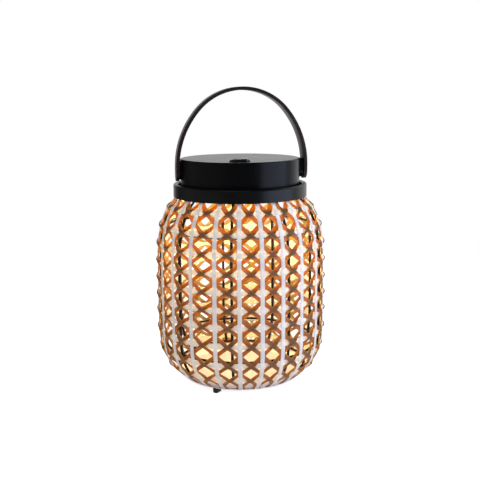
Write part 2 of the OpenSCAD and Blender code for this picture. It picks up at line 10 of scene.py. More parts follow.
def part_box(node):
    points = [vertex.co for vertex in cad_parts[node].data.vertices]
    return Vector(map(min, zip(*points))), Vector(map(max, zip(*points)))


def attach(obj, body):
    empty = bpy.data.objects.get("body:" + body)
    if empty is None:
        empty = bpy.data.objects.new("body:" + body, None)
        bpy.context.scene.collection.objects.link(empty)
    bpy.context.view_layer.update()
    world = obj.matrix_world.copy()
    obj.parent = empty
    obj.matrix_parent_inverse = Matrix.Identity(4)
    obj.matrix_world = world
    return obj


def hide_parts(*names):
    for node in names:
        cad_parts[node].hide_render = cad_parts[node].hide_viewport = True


bl_info = {
    "name": "Woven Strap Lantern",
    "version": (1, 0, 0),
    "blender": (4, 5, 0),
    "location": "View3D > Sidebar > Lantern",
    "description": "Dresses a table lantern's frame with its weave, lamp unit and handle",
    "category": "Add Mesh",
}

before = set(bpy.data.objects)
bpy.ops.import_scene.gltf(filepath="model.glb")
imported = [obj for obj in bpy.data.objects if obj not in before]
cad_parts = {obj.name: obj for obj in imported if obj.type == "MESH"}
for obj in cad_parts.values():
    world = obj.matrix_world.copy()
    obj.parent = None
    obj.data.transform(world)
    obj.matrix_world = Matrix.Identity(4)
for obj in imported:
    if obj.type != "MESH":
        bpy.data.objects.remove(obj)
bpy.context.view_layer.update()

MM = 0.001
TURN = 2 * math.pi

# Levels of the frame that the pieces below are built against
ROD_LOW, ROD_HIGH = (corner.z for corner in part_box("frame_rods"))
PAD_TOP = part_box("switch_pad")[1].z
BUTTON_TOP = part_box("switch_button")[1].z

# Steps of the laid and spun meshes; a band's are for each column
TAPE_ACROSS, STRIP_STEPS, STRAP_STEPS, BAND_STEPS = 4, 132, 150, 8
ROD_SIDES, ROD_STEPS, RIM_STEPS = 12, 64, 128

# Distances under which vertices are merged
MERGE, CAD_MERGE = 0.000001, 0.00001

# Form of the tapes, in metres
TAPE_EDGE = 0.00014  # rounding of their cut edges
TUCK_LOW, TUCK_HIGH = 0.4 * MM, 2.3 * MM  # how far they run past the hem and the neck
STRIP_CROWN, STRAP_CROWN = 0.00010, 0.00008  # bulge of their faces
STRIP_RISE, BAND_DIP = 0.00016, 0.00022  # strips over bands, bands under crossings
STRIP_STRAY, BAND_STRAY, STRAP_STRAY = 0.00022, 0.00020, 0.00030  # to either side

# Width of the bands at the strips, as a share, and what the crossings take off it
BAND_SPREAD, BAND_PINCH = 1.22, 0.62

# What the hem takes off the width of the straps, from which row and over how many rows
HEM_PINCH, HEM_START, HEM_ROWS = 0.22, -0.7, 1.2

# Rows that don't lie evenly: rise in mm, at which row, over how many rows. The weaver's
# hand let the lowest and the third and fourth ride up, and the eighth sit a little low.
ROW_STRAYS = ((1.8, 0, 0.45), (3.0, 2.6, 1.3), (-0.8, 7, 1.5))

# How far columns stray round the barrel: degrees, turned back by, waves, first angle
PULL, PULL_BACK, PULL_WAVES, PULL_START = 1.4, 0.6, 4, math.radians(105)

# Unevenness of the wall in metres, and how tight its waves are round it and up it
RIPPLE, RIPPLE_ROUND, RIPPLE_UP = 0.00022, 3.1, 24

# Rounding of moulded edges, and a little slack under the level above which it is done
PAD_ROUND, BUTTON_ROUND, BAIL_ROUND, SLACK = 0.0012, 0.0005, 0.0008, 0.0001

# Ends of the switch pad: depth of the skin that slopes, its fall, and the flat share
PAD_SKIN, PAD_FALL, PAD_FLAT = 1.6 * MM, 1.4 * MM, 0.4

# Hinge blocks: how far sunk into the lamp unit and below its top, and their own form
BLOCK_SINK, BLOCK_DROP, BLOCK_HALF = 0.6 * MM, 1.5 * MM, 8.2 * MM
BLOCK_CORNER, BLOCK_CHAMFER = 2.5 * MM, 0.6 * MM

# How far the bail leans to the right for each metre of height
BAIL_LEAN = 0.011

# Depth of the relief that the finishes' patterns give, in metres
RELIEF = 0.0002

# What gloss sees: a bright card behind at the right, a weak one at the left and a dim
# room. For each card its direction, from where to where it shows, and its strength.
GLOSS_CARDS = ((math.radians(58), 0.35, 0.85, 0.96), (math.radians(-172), 0.55, 0.95, 0.26))
CARD_RISE, ROOM = 0.1, 0.04

# Stage, in metres: the panels of light stand at a distance, a direction and a height
KEY_PLACE, KEY_SIZE = (1.4, math.radians(-31), 0.30), (1.5, 1.2)
FILL_PLACE, FILL_SIZE = (1.5, math.radians(-115), 1.4), (1.6, 1.2)
AIM = Vector((0, 0, 0.16))
LAMP_PLACE, LAMP_RADIUS = (0, 0, 0.175), 0.03
FLOOR_RADIUS = 0.8
CAMERA_SHIFT = -0.00083


# Settings -----------------------------------------------------------------------


class LanternWeaveSettings(bpy.types.PropertyGroup):
    """Sizes of the woven barrel"""

    body_radius: FloatProperty(
        name="Body Radius", description="Inner radius of the bands at the widest level",
        default=0.1005, min=0.05, unit="LENGTH")
    waist_height: FloatProperty(
        name="Waist Height", description="Height of the widest level above the table",
        default=0.0935, unit="LENGTH")
    hem_radius: FloatProperty(
        name="Hem Radius", description="Inner radius at the lower edge",
        default=0.072, unit="LENGTH")
    hem_height: FloatProperty(
        name="Hem Height", description="Height of the lower edge above the table",
        default=0.0075, unit="LENGTH")
    neck_radius: FloatProperty(
        name="Neck Radius", description="Inner radius where the weave enters the collar",
        default=0.0757, unit="LENGTH")
    neck_height: FloatProperty(
        name="Neck Height", description="Height where the weave enters the collar",
        default=0.2265, unit="LENGTH")
    hem_power: FloatProperty(
        name="Hem Power", description="Squareness of the lower shoulder", default=4.25)
    neck_power: FloatProperty(
        name="Neck Power", description="Squareness of the upper shoulder", default=5.75)
    columns: IntProperty(
        name="Columns", description="Number of upright strips", default=23, min=3)
    rows: IntProperty(
        name="Rows", description="Number of level bands", default=10, min=2)
    first_row: FloatProperty(
        name="First Row", description="Height of the lowest band above the hem",
        default=0.014, unit="LENGTH")
    turn: FloatProperty(
        name="Turn", description="Direction of the first strip from +X",
        default=math.radians(8), subtype="ANGLE")
    tape: FloatProperty(
        name="Tape", description="Thickness of a strap", default=0.0005,
        precision=5, unit="LENGTH")
    layer: FloatProperty(
        name="Layer", description="Rise from one woven layer to the next",
        default=0.00065, precision=5, unit="LENGTH")
    strip_width: FloatProperty(
        name="Strip Width", description="Width of an upright strip",
        default=0.005, unit="LENGTH")
    band_height: FloatProperty(
        name="Band Height", description="Height of a level band",
        default=0.0054, unit="LENGTH")
    strap_width: FloatProperty(
        name="Strap Width", description="Width of a slanting strap",
        default=0.0049, unit="LENGTH")
    lift: FloatProperty(
        name="Crossing Lift", description="Layers that a strap stands out over a band",
        default=2.84)
    rods: IntProperty(
        name="Rods", description="Number of upright rods behind the weave", default=9, min=3)
    rod_turn: FloatProperty(
        name="Rod Turn", description="Direction of the first rod from +X",
        default=math.radians(14), subtype="ANGLE")
    rod_gap: FloatProperty(
        name="Rod Gap", description="Gap between the rods and the weave",
        default=0.0014, precision=4, unit="LENGTH")
    wire: FloatProperty(
        name="Wire", description="Diameter of the frame's wire with its coat",
        default=0.0034, precision=4, unit="LENGTH")


class LanternFinishSettings(bpy.types.PropertyGroup):
    """Colours of the finishes"""

    white_tape: FloatVectorProperty(
        name="White Tape", description="Upright strips, lit from in front",
        default=(0.86, 0.88, 0.90), subtype="COLOR", min=0, max=1)
    white_glow: FloatVectorProperty(
        name="White Tape Glow", description="Light that comes through the white tape",
        default=(0.93, 0.85, 0.71), subtype="COLOR", min=0, max=1)
    white_band: FloatVectorProperty(
        name="White Band", description="Thinner tape of the level bands, lit from in front",
        default=(0.88, 0.87, 0.90), subtype="COLOR", min=0, max=1)
    # painted light and shade: the lower straps are darker and the upper ones greyer and lighter,
    # a shaded and a lit copy of one brown tape
    brown_tape: FloatVectorProperty(
        name="Brown Tape", description="Slanting straps of the lower layer",
        default=(0.17, 0.105, 0.028), subtype="COLOR", min=0, max=1)
    brown_tape_top_painted_lit: FloatVectorProperty(
        name="Brown Tape On Top Painted Lit", description="Greyer slanting straps of the upper layer",
        default=(0.20, 0.15, 0.085), subtype="COLOR", min=0, max=1)
    brown_glow: FloatVectorProperty(
        name="Brown Tape Glow", description="Light that comes through the brown tape",
        default=(0.64, 0.30, 0.002), subtype="COLOR", min=0, max=1)
    # painted light: the tapes' side that faces the lamp is coloured warm, as if lit by it
    brown_lamp_side_painted_light: FloatVectorProperty(
        name="Brown Lamp Side Painted Light", description="Brown tape on the side of the lamp",
        default=(0.38, 0.29, 0.10), subtype="COLOR", min=0, max=1)
    white_lamp_side_painted_light: FloatVectorProperty(
        name="White Lamp Side Painted Light", description="White tape on the side of the lamp",
        default=(0.70, 0.66, 0.52), subtype="COLOR", min=0, max=1)
    # painted light: the cut edges of the brown tape are coloured gold, as if they caught the
    # lamp's light
    painted_edge_glow: FloatVectorProperty(
        name="Painted Edge Glow", description="Cut edges of the brown tape, where they catch the light",
        default=(0.86, 0.56, 0.10), subtype="COLOR", min=0, max=1)
    housing: FloatVectorProperty(
        name="Housing", description="Lamp unit and collar",
        default=(0.0022, 0.0022, 0.0026), subtype="COLOR", min=0, max=1)
    handle: FloatVectorProperty(
        name="Handle", description="Carrying bail",
        default=(0.017, 0.0085, 0.006), subtype="COLOR", min=0, max=1)
    wire: FloatVectorProperty(
        name="Wire", description="Rods, rings and hoops of the frame",
        default=(0.015, 0.008, 0.005), subtype="COLOR", min=0, max=1)
    base: FloatVectorProperty(
        name="Base", description="Rim with its rolled lip",
        default=(0.93, 0.80, 0.74), subtype="COLOR", min=0, max=1)
    base_inside: FloatVectorProperty(
        name="Base Inside", description="Base disc, seen through the lowest openings",
        default=(0.66, 0.56, 0.62), subtype="COLOR", min=0, max=1)


class LanternStageSettings(bpy.types.PropertyGroup):
    """Lights, floor and camera"""

    lamp_power: FloatProperty(
        name="Lamp Power", description="Power of the lantern's own light",
        default=1.25, unit="POWER")
    lamp_colour: FloatVectorProperty(
        name="Lamp Colour", description="Colour of the lantern's own light",
        default=(1.0, 0.75, 0.36), subtype="COLOR", min=0, max=1)
    key_power: FloatProperty(
        name="Key Power", description="Power of the large soft light at the right",
        default=17.0, unit="POWER")
    key_colour: FloatVectorProperty(
        name="Key Colour", description="Colour of the large soft light at the right",
        default=(0.66, 0.76, 1.0), subtype="COLOR", min=0, max=1)
    fill_power: FloatProperty(
        name="Fill Power", description="Power of the faint light in front",
        default=6.0, unit="POWER")
    fill_colour: FloatVectorProperty(
        name="Fill Colour", description="Colour of the faint light in front",
        default=(0.94, 0.97, 1.0), subtype="COLOR", min=0, max=1)
    sky: FloatProperty(
        name="Sky", description="Strength of the even light from all round", default=0.50)
    floor_colour: FloatVectorProperty(
        name="Floor Colour", description="Paint of the floor",
        default=(0.86, 0.86, 0.87), subtype="COLOR", min=0, max=1)
    floor_glow: FloatProperty(
        name="Floor Glow", description="Light that makes the floor white in the picture",
        default=0.78)
    yaw: FloatProperty(
        name="Yaw", description="Direction of the view, from +Y towards +X",
        default=math.radians(10.0), subtype="ANGLE")
    pitch: FloatProperty(
        name="Pitch", description="How far the view looks down",
        default=math.radians(10.45), subtype="ANGLE")
    roll: FloatProperty(
        name="Roll", description="How far the camera leans",
        default=math.radians(-0.45), subtype="ANGLE")
    distance: FloatProperty(
        name="Distance", description="Level distance from the camera to the axis",
        default=0.9522, unit="LENGTH")
    height: FloatProperty(
        name="Height", description="Height of the camera above the table",
        default=0.3469, unit="LENGTH")
    lens: FloatProperty(
        name="Lens", description="Focal length on a 36 mm sensor in millimetres",
        default=59.4)


# Shared shader groups --------------------------------------------------------------


def new_group(name, inputs, outputs):
    """A shader node group with its sockets, and its input and output nodes"""
    tree = bpy.data.node_groups.new(name, "ShaderNodeTree")
    for label, kind, default in inputs:
        socket = tree.interface.new_socket(label, in_out="INPUT", socket_type=kind)
        socket.default_value = default
    for label, kind in outputs:
        tree.interface.new_socket(label, in_out="OUTPUT", socket_type=kind)
    return tree, tree.nodes.new("NodeGroupInput"), tree.nodes.new("NodeGroupOutput")


def feed(tree, socket, value):
    """Gives a socket a link from another socket, or a plain value"""
    if isinstance(value, bpy.types.NodeSocket):
        tree.links.new(value, socket)
    else:
        socket.default_value = value


def maths(tree, operation, *values):
    """A Math node fed by sockets or plain numbers"""
    node = tree.nodes.new("ShaderNodeMath")
    node.operation = operation
    for place, value in enumerate(values):
        feed(tree, node.inputs[place], value)
    return node.outputs[0]


def vector_maths(tree, operation, first, second):
    """A Vector Math node fed by sockets or plain vectors"""
    node = tree.nodes.new("ShaderNodeVectorMath")
    node.operation = operation
    feed(tree, node.inputs[0], first)
    feed(tree, node.inputs["Scale" if operation == "SCALE" else 1], second)
    return node.outputs["Value" if operation == "DOT_PRODUCT" else "Vector"]


def step(tree, value, low, high):
    """A smooth step from 0 at low to 1 at high"""
    node = tree.nodes.new("ShaderNodeMapRange")
    node.interpolation_type = "SMOOTHSTEP"
    tree.links.new(value, node.inputs["Value"])
    node.inputs["From Min"].default_value = low
    node.inputs["From Max"].default_value = high
    return node.outputs["Result"]


def blend_colours(tree, factor, first, second):
    """A Mix node that goes from one colour to another"""
    node = tree.nodes.new("ShaderNodeMix")
    node.data_type = "RGBA"
    for label, value in (("Factor_Float", factor), ("A_Color", first), ("B_Color", second)):
        tree.links.new(value, next(s for s in node.inputs if s.identifier == label))
    return next(s for s in node.outputs if s.identifier == "Result_Color")


def noise_node(tree, vector, scale, detail=3.0, rough=0.5):
    """A Noise Texture on a vector"""
    node = tree.nodes.new("ShaderNodeTexNoise")
    feed(tree, node.inputs["Scale"], scale)
    node.inputs["Detail"].default_value = detail
    node.inputs["Roughness"].default_value = rough
    tree.links.new(vector, node.inputs["Vector"])
    return node.outputs["Fac"]


def centred(tree, value):
    """A value between 0 and 1 moved to lie about zero"""
    return maths(tree, "SUBTRACT", value, 0.5)


def stretched(tree, vector, scale):
    """A vector stretched by a Mapping node"""
    node = tree.nodes.new("ShaderNodeMapping")
    node.inputs["Scale"].default_value = scale
    tree.links.new(vector, node.inputs["Vector"])
    return node.outputs["Vector"]


def build_tape_group():
    """Drawn plastic tape: fine lines along it, cloudy patches, painted light on its cut edges,
    painted shade or light at the crossings and painted lamp light on the side that faces the
    lamp. U runs across the tape and V along it, one unit for each row."""
    tree, entry, leave = new_group(
        "Drawn Tape",
        [("Colour", "NodeSocketColor", (0.8, 0.8, 0.8, 1)),
         ("Glow", "NodeSocketColor", (0.8, 0.6, 0.3, 1)),
         ("Crossing Shade", "NodeSocketFloat", 0.0),
         ("Painted Edge Colour", "NodeSocketColor", (0.9, 0.9, 0.9, 1)),
         ("Painted Lamp Side Colour", "NodeSocketColor", (0.7, 0.65, 0.6, 1)),
         ("Painted Edge Amount", "NodeSocketFloat", 0.0),
         ("Lines", "NodeSocketFloat", 0.25),
         ("Clouds", "NodeSocketFloat", 0.2)],
        [("Colour", "NodeSocketColor"), ("Glow", "NodeSocketColor"),
         ("Roughness", "NodeSocketFloat"), ("Height", "NodeSocketFloat")])
    uv = tree.nodes.new("ShaderNodeUVMap")
    uv.uv_map = "TapeUV"
    split = tree.nodes.new("ShaderNodeSeparateXYZ")
    tree.links.new(uv.outputs["UV"], split.inputs[0])
    place = tree.nodes.new("ShaderNodeTexCoord")
    # lines drawn along the tape, and clouds over it
    drawn = noise_node(tree, stretched(tree, uv.outputs["UV"], (16, 0.9, 1)), 1.0, 4.0, 0.6)
    cloud = noise_node(tree, place.outputs["Object"], 45.0)
    lines = maths(tree, "MULTIPLY", centred(tree, drawn), entry.outputs["Lines"])
    clouds = maths(tree, "MULTIPLY", centred(tree, cloud), entry.outputs["Clouds"])
    # distance from the middle of the tape, 1 at its edges
    side = maths(tree, "ABSOLUTE", maths(
        tree, "MULTIPLY", centred(tree, split.outputs["X"]), 2.0))
    edge = step(tree, side, 0.72, 1.0)
    # distance from the nearest crossing, in rows
    near = maths(tree, "ABSOLUTE", centred(tree, maths(
        tree, "FRACT", maths(tree, "ADD", split.outputs["Y"], 0.5))))
    crossing = maths(tree, "SUBTRACT", 1.0, step(tree, near, 0.03, 0.22))
    # painted shade at the crossings: this darkens the tape there, or lightens it when the shade
    # is below zero
    shade = maths(tree, "MULTIPLY", crossing, entry.outputs["Crossing Shade"])
    # how light the tape is at a spot: its patterns, less the painted shade at the crossings
    # (painted light where that shade is below zero) and a little at the edges
    level = maths(tree, "SUBTRACT", maths(
        tree, "ADD", maths(tree, "ADD", lines, clouds), 1.0), shade)
    level = maths(tree, "SUBTRACT", level, maths(tree, "MULTIPLY", edge, 0.06))
    # painted light on the cut edges, as if they caught the lamp's light
    lit = maths(tree, "MULTIPLY", edge, entry.outputs["Painted Edge Amount"])
    # the side that faces the lamp, which gets painted lamp light: ten times the way to the axis
    # is about 1 m long
    inwards = vector_maths(tree, "MULTIPLY", place.outputs["Object"], (-10, -10, 0))
    inside = step(tree, vector_maths(
        tree, "DOT_PRODUCT", place.outputs["Normal"], inwards), 0.3, 0.6)
    # painted light: both colours take the painted edge light, and the colour seen in front also
    # takes the painted lamp light on the side that faces the lamp
    for name in ("Colour", "Glow"):
        shown = blend_colours(tree, lit, vector_maths(tree, "SCALE", entry.outputs[name], level),
                              entry.outputs["Painted Edge Colour"])
        if name == "Colour":
            shown = blend_colours(tree, inside, shown, entry.outputs["Painted Lamp Side Colour"])
        tree.links.new(shown, leave.inputs[name])
    tree.links.new(maths(tree, "ADD", 0.42, maths(tree, "MULTIPLY", cloud, 0.22)),
                   leave.inputs["Roughness"])
    tree.links.new(maths(tree, "ADD", drawn, maths(tree, "MULTIPLY", cloud, 0.5)),
                   leave.inputs["Height"])


def build_skin_group():
    """Moulded or powder-coated skin: fine grain, faint handling marks and cloudy sheen"""
    tree, entry, leave = new_group(
        "Moulded Skin",
        [("Colour", "NodeSocketColor", (0.02, 0.02, 0.02, 1)),
         ("Roughness", "NodeSocketFloat", 0.4),
         ("Grain Scale", "NodeSocketFloat", 1500.0),
         ("Variation", "NodeSocketFloat", 0.2)],
        [("Colour", "NodeSocketColor"), ("Roughness", "NodeSocketFloat"),
         ("Height", "NodeSocketFloat")])
    place = tree.nodes.new("ShaderNodeTexCoord").outputs["Object"]
    patches = noise_node(tree, place, 22.0, 4.0, 0.6)
    marks = noise_node(tree, stretched(tree, place, (70, 70, 160)), 1.0)
    tint = maths(tree, "ADD", 1.0, maths(
        tree, "MULTIPLY", centred(tree, patches), entry.outputs["Variation"]))
    rough = maths(tree, "ADD", entry.outputs["Roughness"], maths(
        tree, "MULTIPLY", maths(
            tree, "SUBTRACT", maths(tree, "ADD", patches, marks), 1.0), 0.07))
    tree.links.new(vector_maths(tree, "SCALE", entry.outputs["Colour"], tint),
                   leave.inputs["Colour"])
    tree.links.new(rough, leave.inputs["Roughness"])
    tree.links.new(noise_node(tree, place, entry.outputs["Grain Scale"], 2.0),
                   leave.inputs["Height"])


# Materials --------------------------------------------------------------------------


def rgba(colour):
    return (colour[0], colour[1], colour[2], 1.0)


def new_material(name):
    """An empty material's node tree, and its output node"""
    material = bpy.data.materials.new(name)
    material.use_nodes = True
    tree = material.node_tree
    tree.nodes.clear()
    return tree, tree.nodes.new("ShaderNodeOutputMaterial")


def add_group(tree, name, values):
    """A shared shader group with one material's values"""
    node = tree.nodes.new("ShaderNodeGroup")
    node.node_tree = bpy.data.node_groups[name]
    for label, value in values.items():
        node.inputs[label].default_value = value
    return node


def add_surface(tree, group, bump, specular):
    """A Principled BSDF with the colour, roughness and height that a group gives it"""
    relief = tree.nodes.new("ShaderNodeBump")
    relief.inputs["Strength"].default_value = bump
    relief.inputs["Distance"].default_value = RELIEF
    surface = tree.nodes.new("ShaderNodeBsdfPrincipled")
    surface.inputs["Specular IOR Level"].default_value = specular
    tree.links.new(group.outputs["Height"], relief.inputs["Height"])
    tree.links.new(group.outputs["Colour"], surface.inputs["Base Color"])
    tree.links.new(group.outputs["Roughness"], surface.inputs["Roughness"])
    tree.links.new(relief.outputs["Normal"], surface.inputs["Normal"])
    return surface


def tape_material(name, colour, glow, edge, inner, through, shade=0.0, painted_edge_amount=0.0,
                  specular=0.4):
    """Translucent tape: part of the light behind it comes through"""
    tree, output = new_material(name)
    tape = add_group(tree, "Drawn Tape", {
        "Colour": rgba(colour), "Glow": rgba(glow), "Crossing Shade": shade,
        "Painted Edge Colour": rgba(edge), "Painted Lamp Side Colour": rgba(inner), "Painted Edge Amount": painted_edge_amount})
    front = add_surface(tree, tape, 0.25, specular)
    back = tree.nodes.new("ShaderNodeBsdfTranslucent")
    tree.links.new(tape.outputs["Glow"], back.inputs["Color"])
    mix = tree.nodes.new("ShaderNodeMixShader")
    mix.inputs["Fac"].default_value = through
    tree.links.new(front.outputs["BSDF"], mix.inputs[1])
    tree.links.new(back.outputs["BSDF"], mix.inputs[2])
    tree.links.new(mix.outputs["Shader"], output.inputs["Surface"])


def skin_material(name, colour, roughness, grain=1500.0, variation=0.2, bump=0.05,
                  metallic=0.0, specular=0.5, glow=None, glow_strength=0.0):
    """Moulded, coated or plated surface"""
    tree, output = new_material(name)
    skin = add_group(tree, "Moulded Skin", {
        "Colour": rgba(colour), "Roughness": roughness, "Grain Scale": grain,
        "Variation": variation})
    surface = add_surface(tree, skin, bump, specular)
    surface.inputs["Metallic"].default_value = metallic
    if glow is not None:
        surface.inputs["Emission Color"].default_value = rgba(glow)
        surface.inputs["Emission Strength"].default_value = glow_strength
    tree.links.new(surface.outputs["BSDF"], output.inputs["Surface"])


def finish_nodes(finish, *nodes):
    """Gives CAD nodes their finish, with their meshes as they are"""
    for node in nodes:
        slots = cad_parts[node].data.materials
        slots.clear()
        slots.append(bpy.data.materials[finish])


# Mesh helpers -----------------------------------------------------------------------


def barrel_radius(weave, z):
    """Radius of the inner face of the bands at a height"""
    if z < weave.waist_height:
        end, radius, power = weave.hem_height, weave.hem_radius, weave.hem_power
    else:
        end, radius, power = weave.neck_height, weave.neck_radius, weave.neck_power
    part = (z - weave.waist_height) / (end - weave.waist_height)
    return weave.body_radius - (weave.body_radius - radius) * part ** power


def row_base(weave):
    return weave.hem_height + weave.first_row


def row_step(weave):
    return (weave.neck_height - row_base(weave)) / (weave.rows - 0.5)


def row_height(weave, row):
    """Height of a row, counted from the lowest band, as high or low as hand work left it"""
    stray = sum(rise * math.exp(-((row - middle) / spread) ** 2)
                for rise, middle, spread in ROW_STRAYS)
    return row_base(weave) + row * row_step(weave) + stray * MM


def tape_rows(weave):
    """Rows at which the strips and straps start and end"""
    low, high = weave.hem_height - TUCK_LOW, weave.neck_height + TUCK_HIGH
    return ((low - row_base(weave)) / row_step(weave),
            (high - row_base(weave)) / row_step(weave))


def pulled(angle):
    """Where a column really stands: the tapes weren't pulled quite evenly round"""
    return angle + math.radians(PULL * math.cos(PULL_WAVES * (angle + PULL_START)) - PULL_BACK)


def ripple(angle, z):
    """Slow unevenness of the woven wall, the same for every layer at one place"""
    return RIPPLE * noise.noise(Vector((RIPPLE_ROUND * math.cos(angle),
                                        RIPPLE_ROUND * math.sin(angle), z * RIPPLE_UP)))


def wander(seed, along):
    """How far one tape strays to the side, from -1 to 1; each seed reads other noise"""
    return noise.noise(Vector((seed * 7.31, along * 0.45, seed * 1.7)))


def crown(u):
    """Bulge of a tape's face, 1 in the middle and 0 at its edges"""
    return 1 - (2 * u - 1) ** 2


def polar(radius, angle, z):
    return Vector((radius * math.cos(angle), radius * math.sin(angle), z))


def new_tape_mesh():
    """An empty mesh with the UV layer that laid grids fill"""
    mesh = bmesh.new()
    mesh.loops.layers.uv.new("TapeUV")
    return mesh


def lay_tape(mesh, across, along, place, v_range):
    """One flat grid carried to its place; its UV runs across and along it"""
    uv = mesh.loops.layers.uv["TapeUV"]
    made = bmesh.ops.create_grid(mesh, x_segments=across, y_segments=along, size=0.5)
    spots = {v: (v.co.x + 0.5, v.co.y + 0.5) for v in made["verts"]}
    for face in {f for v in made["verts"] for f in v.link_faces}:
        face.smooth = True
        for loop in face.loops:
            u, v = spots[loop.vert]
            loop[uv].uv = (u, v_range[0] + (v_range[1] - v_range[0]) * v)
    for vert, (u, v) in spots.items():
        vert.co = place(u, v)


def add_piece(name, mesh, finish, replaced, body="body", sharp=None):
    """Turns a bmesh into a piece that rides on a body in place of CAD nodes"""
    data = bpy.data.meshes.new(name)
    mesh.to_mesh(data)
    mesh.free()
    data.materials.append(bpy.data.materials[finish])
    if sharp is not None:
        data.shade_smooth()
        data.set_sharp_from_angle(angle=math.radians(sharp))
    piece = bpy.data.objects.new(name, data)
    bpy.context.scene.collection.objects.link(piece)
    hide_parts(*replaced)
    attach(piece, body)
    return piece


def add_tapes(name, mesh, finish, replaced, thickness):
    """Turns laid tapes into a piece, thickened away from the axis, with rounded edges"""
    inward = [face for face in mesh.faces
              if face.normal.xy.dot(face.calc_center_median().xy) < 0]
    bmesh.ops.reverse_faces(mesh, faces=inward)
    piece = add_piece(name, mesh, finish, replaced)
    solid = piece.modifiers.new("Thickness", "SOLIDIFY")
    solid.thickness = thickness
    solid.offset = 1.0
    solid.use_even_offset = False
    rounding = piece.modifiers.new("Edges", "BEVEL")
    rounding.width = TAPE_EDGE
    rounding.segments = 2
    rounding.limit_method = "ANGLE"
    rounding.angle_limit = math.radians(50)


def rounded_copy(node, radius, segments, above=0.0):
    """A merged copy of a CAD node's mesh with its sharp edges above a level rounded"""
    mesh = bmesh.new()
    mesh.from_mesh(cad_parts[node].data)
    bmesh.ops.remove_doubles(mesh, verts=mesh.verts, dist=CAD_MERGE)
    bmesh.ops.dissolve_limit(mesh, angle_limit=math.radians(0.5), verts=mesh.verts,
                             edges=mesh.edges, delimit={"NORMAL"})
    sharp = [e for e in mesh.edges
             if len(e.link_faces) == 2 and e.calc_face_angle(0.0) > math.radians(30)
             and min(v.co.z for v in e.verts) > above]
    bmesh.ops.bevel(mesh, geom=sharp, offset=radius, offset_type="OFFSET", segments=segments,
                    profile=0.5, affect="EDGES", clamp_overlap=True, material=-1)
    return mesh


# Pieces -----------------------------------------------------------------------------


class LANTERN_OT_strips(bpy.types.Operator):
    """Lay the upright white strips over the weave"""

    bl_idname = "lantern.strips"
    bl_label = "Upright Strips"

    def execute(self, context):
        weave = context.scene.lantern_weave
        first, last = tape_rows(weave)
        mesh = new_tape_mesh()
        for column in range(weave.columns):
            middle = pulled(weave.turn + TURN * column / weave.columns)

            def place(u, v):
                row = first + (last - first) * v
                z = row_height(weave, row)
                rise = 0.5 - 0.5 * math.cos(TURN * row)
                radius = (barrel_radius(weave, z) + weave.layer + STRIP_RISE * rise
                          + STRIP_CROWN * crown(u))
                aside = (u - 0.5) * weave.strip_width + STRIP_STRAY * wander(column + 1, row)
                angle = middle + aside / radius
                return polar(radius + ripple(angle, z), angle, z)

            lay_tape(mesh, TAPE_ACROSS, STRIP_STEPS, place, (first, last))
        add_tapes("woven_strips", mesh, "White tape",
                  replaced=["weave_strips"], thickness=weave.tape)
        return {"FINISHED"}


class LANTERN_OT_bands(bpy.types.Operator):
    """Lay the level white bands behind the crossings"""

    bl_idname = "lantern.bands"
    bl_label = "Level Bands"

    def execute(self, context):
        weave = context.scene.lantern_weave
        mesh = new_tape_mesh()
        for row in range(weave.rows):
            middle = row_height(weave, row)

            def place(u, v):
                level = weave.turn + TURN * v
                angle = pulled(level)
                drift = BAND_STRAY * wander(row + 40, 20 * math.cos(angle))
                # the band is pinched and dips where the slanting straps cross over it
                dip = 0.5 - 0.5 * math.cos(weave.columns * (level - weave.turn))
                height = weave.band_height * (BAND_SPREAD - BAND_PINCH * dip * dip)
                z = middle + (u - 0.5) * height + drift
                radius = barrel_radius(weave, z) - BAND_DIP * dip
                return polar(radius + ripple(angle, z), angle, z)

            lay_tape(mesh, TAPE_ACROSS, BAND_STEPS * weave.columns, place,
                     (0.5, 0.5 + weave.columns))
        bmesh.ops.remove_doubles(mesh, verts=mesh.verts, dist=MERGE)
        add_tapes("woven_bands", mesh, "White band tape",
                  replaced=["weave_bands"], thickness=weave.tape)
        return {"FINISHED"}


class LANTERN_OT_straps(bpy.types.Operator):
    """Lay both layers of slanting brown straps"""

    bl_idname = "lantern.straps"
    bl_label = "Slanting Straps"

    def execute(self, context):
        weave = context.scene.lantern_weave
        self.lay(weave, "under", 1, 0)
        self.lay(weave, "over", -1, 1)
        return {"FINISHED"}

    @staticmethod
    def lay(weave, name, lean, level):
        """Lays a layer: lean is 1 or -1, for the side it slants to, and level 0 or 1"""
        first, last = tape_rows(weave)
        mesh = new_tape_mesh()
        for column in range(weave.columns):
            start = weave.turn + TURN * (column + 0.5) / weave.columns

            def place(u, v):
                row = first + (last - first) * v
                z = row_height(weave, row)
                wall = barrel_radius(weave, z)
                run = TURN * wall / weave.columns
                slant = row_step(weave) / math.hypot(row_step(weave), run)
                # the straps are drawn narrower where the barrel closes in at the hem
                rows_up = max(row - HEM_START, 0)
                width = weave.strap_width * (1 - HEM_PINCH * math.exp(-rows_up / HEM_ROWS))
                # part of a row over which the strap lies flat behind a strip
                flat = (weave.strip_width + width / slant) / 2 / run
                gap = min(abs(row - round(row)) / (0.5 - flat), 1.0)
                rise = 0.5 + 0.5 * math.cos(math.pi * gap)
                radius = (wall + weave.layer * (level - 1 + (weave.lift + 1) * rise)
                          + STRAP_CROWN * crown(u))
                aside = ((u - 0.5) * width / slant
                         + STRAP_STRAY * wander(column + 60 + 40 * level, row))
                angle = pulled(start + lean * TURN / weave.columns * row) + aside / radius
                return polar(radius + ripple(angle, z), angle, z)

            lay_tape(mesh, TAPE_ACROSS, STRAP_STEPS, place, (first, last))
        add_tapes("woven_straps_" + name, mesh, "Brown tape " + name,
                  replaced=["weave_straps_" + name], thickness=weave.tape)


